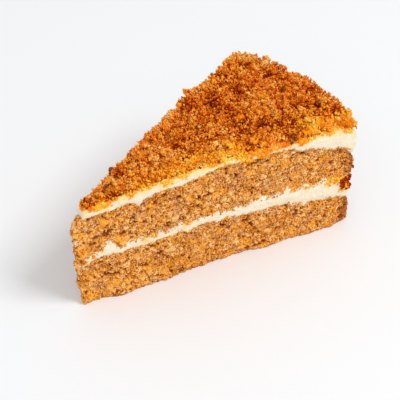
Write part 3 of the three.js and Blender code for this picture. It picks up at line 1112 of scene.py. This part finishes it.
# Crumbs caught on the near cut: r, z, reach, height, count, largest radius, tone
caught = {
    "name": "caughtCrumbs", "shape": "block", "rough": 0.3, "proud": 0.3, "smallest": 0.3, "vary": 0.12,
    "spread": (0.5, 0.45),  # of a cluster's reach and height
}
clusters = (
    (127.6, 24.4, 2, 1.7, 56, 1.1, 0.02), (127.8, 21.4, 1.8, 1.8, 46, 1.1, 0.16),
    (126.4, 20, 1.2, 1.4, 14, 0.9, 0.6), (130.4, 30.9, 0.4, 0.4, 3, 0.8, 0.05),
    (120.5, 26.6, 3, 1.6, 44, 0.7, 0.85), (123.4, 25.8, 1.6, 1.6, 26, 0.7, 0.7),
    (111, 26.6, 5, 0.7, 24, 0.5, 0.8), (100, 27.4, 6, 0.5, 16, 0.4, 0.75),
    (79, 52.2, 5, 1.6, 46, 0.8, 0.5), (76, 49.4, 2.5, 1.2, 10, 0.6, 0.35),
    (33.3, 43.6, 1.8, 1.4, 14, 0.9, 0.3), (20.3, 27.4, 1.6, 0.8, 12, 0.7, 0.8),
    (48.8, 26.6, 0.5, 1.6, 8, 0.6, 0.85), (31, 26.2, 2.6, 0.7, 10, 0.6, 0.7),
    (62, 28.6, 4, 0.6, 10, 0.5, 0.5), (3.2, 37.5, 1.2, 3.5, 22, 0.7, 0.75),
    (2.6, 29.6, 0.8, 2.4, 12, 0.6, 0.6), (3.8, 24.5, 1, 1.8, 12, 0.6, 0.45),
)


def nearCutPoint(r, z):  # on the surface of the sponge or the cream that shows there
    for layer in (lowerSponge, fillingCream, upperSponge, topCream):
        (x, y), _, wall, _ = plainOutline(r, between(layer["tip"], 0.5), wedge["radius"])
        bottom, top = (layer[face](x, y, r, wall) for face in ("bottom", "top"))
        if z <= top:
            break
    return layerPoint(layer, r, clamp((z - bottom) / (top - bottom)))[:2]


def caughtCrumbs():
    sideways, upwards = caught["spread"]
    for r, z, reach, height, count, largest, tone in clusters:
        for _ in range(count):
            radius = drawnRadius((caught["smallest"], largest), 1)
            high = z + height * draw.gauss(0, upwards)
            point, normal = nearCutPoint(max(r + reach * draw.gauss(0, sideways), 0.5), high)
            point.z = high
            yield point + normal * caught["proud"] * radius, radius, tone + draw.gauss(0, caught["vary"])


crumbPiece(caught, caughtCrumbs())

# Sponge crumbs loosened by the knife, on both cuts and the tip
loosened = {
    "name": "looseSponge", "radii": (0.22, 0.55), "shape": "chip", "rough": 0.32,
    "small": 1.5, "proud": 0.3,
}
loosenedFrom = (  # layer, count, lowest and highest share of its height
    (lowerSponge, 2200, 0.03, 0.99), (upperSponge, 2200, 0.01, 0.99),
    (fillingCream, 260, 0.04, 0.2), (fillingCream, 380, 0.78, 0.96), (topCream, 420, 0.05, 0.2),
)


def loosenedCrumbs(layer, count, low, high):
    for _ in range(count):
        along = draw.uniform(-cutLength - wedge["tipWidth"], cutLength)
        point, normal = layerPoint(layer, along, draw.uniform(low, high))[:2]
        radius = drawnRadius(loosened["radii"], loosened["small"])
        yield point + normal * loosened["proud"] * radius, radius, 0


sources = (loosenedCrumbs(*values) for values in loosenedFrom)
crumbPiece(loosened, *sources, finish=spongeFinish, slotName="sponge")

# Walnut pieces and carrot shreds that the knife went through
walnut = {"rough": 0.45, "lumps": (1.6, 3.5), "proud": 0.12, "thickness": 0.4, "turn": 0.4}
walnuts = (  # wall, r, z, half length, half height
    (nearCut, 41.4, 15.5, 3.2, 2), (nearCut, 52.8, 10.2, 1.6, 1.3), (nearCut, 88, 8.6, 1.5, 1.1),
    (nearCut, 66, 33.5, 1.6, 1.1), (farCut, 96, 12, 3, 2.2), (farCut, 63, 37, 3.4, 2),
    (farCut, 44, 9, 1.8, 1.4), (farCut, 112, 33, 2.4, 1.8), (farCut, 28, 36, 1.5, 1.2),
)
shred = {
    "count": 230, "length": (1.4, 4.2), "width": (0.45, 0.85), "thickness": 0.5, "bend": 0.5,
    "proud": 0.05, "taper": 0.5, "lowest": 2.8, "margin": 1, "shares": (0.002, 0.97),
}
placedShreds = (  # on the near cut: r, z, angle
    (100, 47, 20), (84, 44, -30), (75, 48.5, 60), (19, 40.6, 80), (12, 38, 10), (6, 31, -60),
    (49, 24.6, 85), (66, 8, 40), (72, 15, -20), (95, 14, 30), (108, 40, 70), (60, 43, -45),
    (34, 8, 15), (24, 12, 60), (16, 9, -20), (56, 36, 35), (118, 11, 80), (90, 34, 10),
)


def wallSpot(wall, r, z):  # centre and axes of a place on the sponge: along the wall, up and outwards
    layer = lowerSponge if z < heightAt(faces["lowerTop"], r) else upperSponge
    along = r if wall == nearCut else 2 * cutLength + rimLength - r
    x, y = plainOutline(along, 2, wedge["radius"])[0]
    bottom, top = (layer[face](x, y, r, wall) for face in ("bottom", "top"))
    point, normal = layerPoint(layer, along, clamp((z - bottom) / (top - bottom), 0.03, 0.97))[:2]
    return point, Matrix((Vector((-normal.y, normal.x, 0)), Vector((0, 0, 1)), normal)).transposed()


def walnutPiece():
    bm = bmesh.new()
    for wall, r, z, long, high in walnuts:
        point, axes = wallSpot(wall, r, z)
        turn = Matrix.Rotation(draw.uniform(-walnut["turn"], walnut["turn"]), 3, "Z")
        deep = high * walnut["thickness"]
        for vert in bmesh.ops.create_icosphere(bm, subdivisions=3, radius=1)["verts"]:
            unit = vert.co.copy()
            lumps = sum(noise.noise(unit * size + point) for size in walnut["lumps"])
            flat = Vector((unit.x * long, unit.y * high, unit.z * deep)) * (1 + walnut["rough"] * lumps)
            flat.z += walnut["proud"] - deep * 0.5
            vert.co = (axes @ (turn @ flat) + point + middle) * mm
    return bm


dress(finishPiece(walnutPiece(), "walnutPieces"), walnutFinish, "sponge")


def shredShape():
    bm = bmesh.new()
    bmesh.ops.create_cube(bm, size=1)
    long = [edge for edge in bm.edges if abs(edge.verts[0].co.x - edge.verts[1].co.x) > 0.5]
    bmesh.ops.subdivide_edges(bm, edges=long, cuts=4)
    for vert in bm.verts:
        vert.co.yz *= 1 - shred["taper"] * (2 * vert.co.x) ** 4
    return meshOf(bm, "shred")


def carrotShreds():
    template = shredShape()
    bm = bmesh.new()
    placed = [(nearCut, r, z, math.radians(angle)) for r, z, angle in placedShreds]
    for _ in range(shred["count"]):
        wall = draw.choice((nearCut, farCut))
        r = wedge["radius"] * math.sqrt(draw.uniform(*shred["shares"]))
        levels = [heightAt(faces[name], r) for name in ("lowerTop", "upperBottom", "upperTop")]
        low = draw.uniform(shred["lowest"], levels[0] - shred["margin"])
        high = draw.uniform(levels[1] + shred["margin"], levels[2] - shred["margin"])
        placed.append((wall, r, draw.choice((low, high)), draw.uniform(0, math.pi)))
    for wall, r, z, angle in placed:
        point, axes = wallSpot(wall, r, z)
        turn = Matrix.Rotation(angle, 3, "Z")
        length, width = draw.uniform(*shred["length"]), draw.uniform(*shred["width"])
        bend = draw.uniform(-1, 1) * shred["bend"]
        for vert in addCopy(bm, template):
            x, y, z = vert.co
            arch = bend * (4 * x * x - 0.5)
            bent = Vector((x * length, y * width + arch, z * shred["thickness"] + shred["proud"]))
            vert.co = (axes @ (turn @ bent) + point + middle) * mm
    bpy.data.meshes.remove(template)
    return bm


dress(finishPiece(carrotShreds(), "carrotShreds"), carrotFinish, "sponge")
for mesh in crumbShapes.values():
    bpy.data.meshes.remove(mesh)

# Floor, light and camera
floorSettings = {"size": 12, "colour": (0.89, 0.897, 0.905)}


def makeFloor():
    bm = bmesh.new()
    bmesh.ops.create_grid(bm, x_segments=1, y_segments=1, size=floorSettings["size"] / 2)
    floor = addObject("floor", meshOf(bm, "floor"))
    shader = Shader("paleFloor")
    speckle = shader.range(shader.noise(40, 2, 0.5), 0.3, 0.7, 0, 0.03)
    colour = shader.colours(speckle, floorSettings["colour"], (0.8, 0.8, 0.8))
    floor.data.materials.append(shader.finish({"Base Color": colour, "Roughness": 0.6}))


def aim(name, data, target, settings):  # at the target, from an azimuth, an elevation and a distance
    azimuth, elevation = math.radians(settings["azimuth"]), math.radians(settings["elevation"])
    flat = math.cos(elevation)
    back = Vector((math.sin(azimuth) * flat, -math.cos(azimuth) * flat, math.sin(elevation)))
    made = addObject(name, data)
    made.location = target + back * settings["distance"]
    made.rotation_mode = "QUATERNION"
    made.rotation_quaternion = (-back).to_track_quat("-Z", "Y")
    return made


view = {
    "target": Vector((-4.43, -7.93, 29.0)) * mm,
    "azimuth": -41.38,
    "elevation": 39.55,
    "distance": 397.38 * mm,
    "lens": 83.38,
}


def makeCamera():
    camera = bpy.data.cameras.new("camera")
    camera.lens = view["lens"]
    camera.sensor_width = 36
    camera.clip_start = 0.02
    bpy.context.scene.camera = aim("camera", camera, view["target"], view)


lights = {
    "keyLight": {"azimuth": 30, "elevation": 52, "distance": 2.4, "size": 0.9, "power": 28},
    "frontLight": {"azimuth": -50, "elevation": 30, "distance": 2.4, "size": 1.8, "power": 9},
}


def makeLights():
    for name, settings in lights.items():
        light = bpy.data.lights.new(name, "AREA")
        light.size = settings["size"]
        light.energy = settings["power"]
        aim(name, light, Vector(), settings)


def makeWorld():
    world = bpy.data.worlds.new("studio")
    world.use_nodes = True
    background = world.node_tree.nodes["Background"]
    background.inputs["Color"].default_value = (0.98, 0.99, 1.0, 1)
    background.inputs["Strength"].default_value = 0.66
    bpy.context.scene.world = world


makeFloor()
makeCamera()
makeLights()
makeWorld()
bpy.context.scene.view_settings.view_transform = "Standard"
print("floor, camera and lights ready")
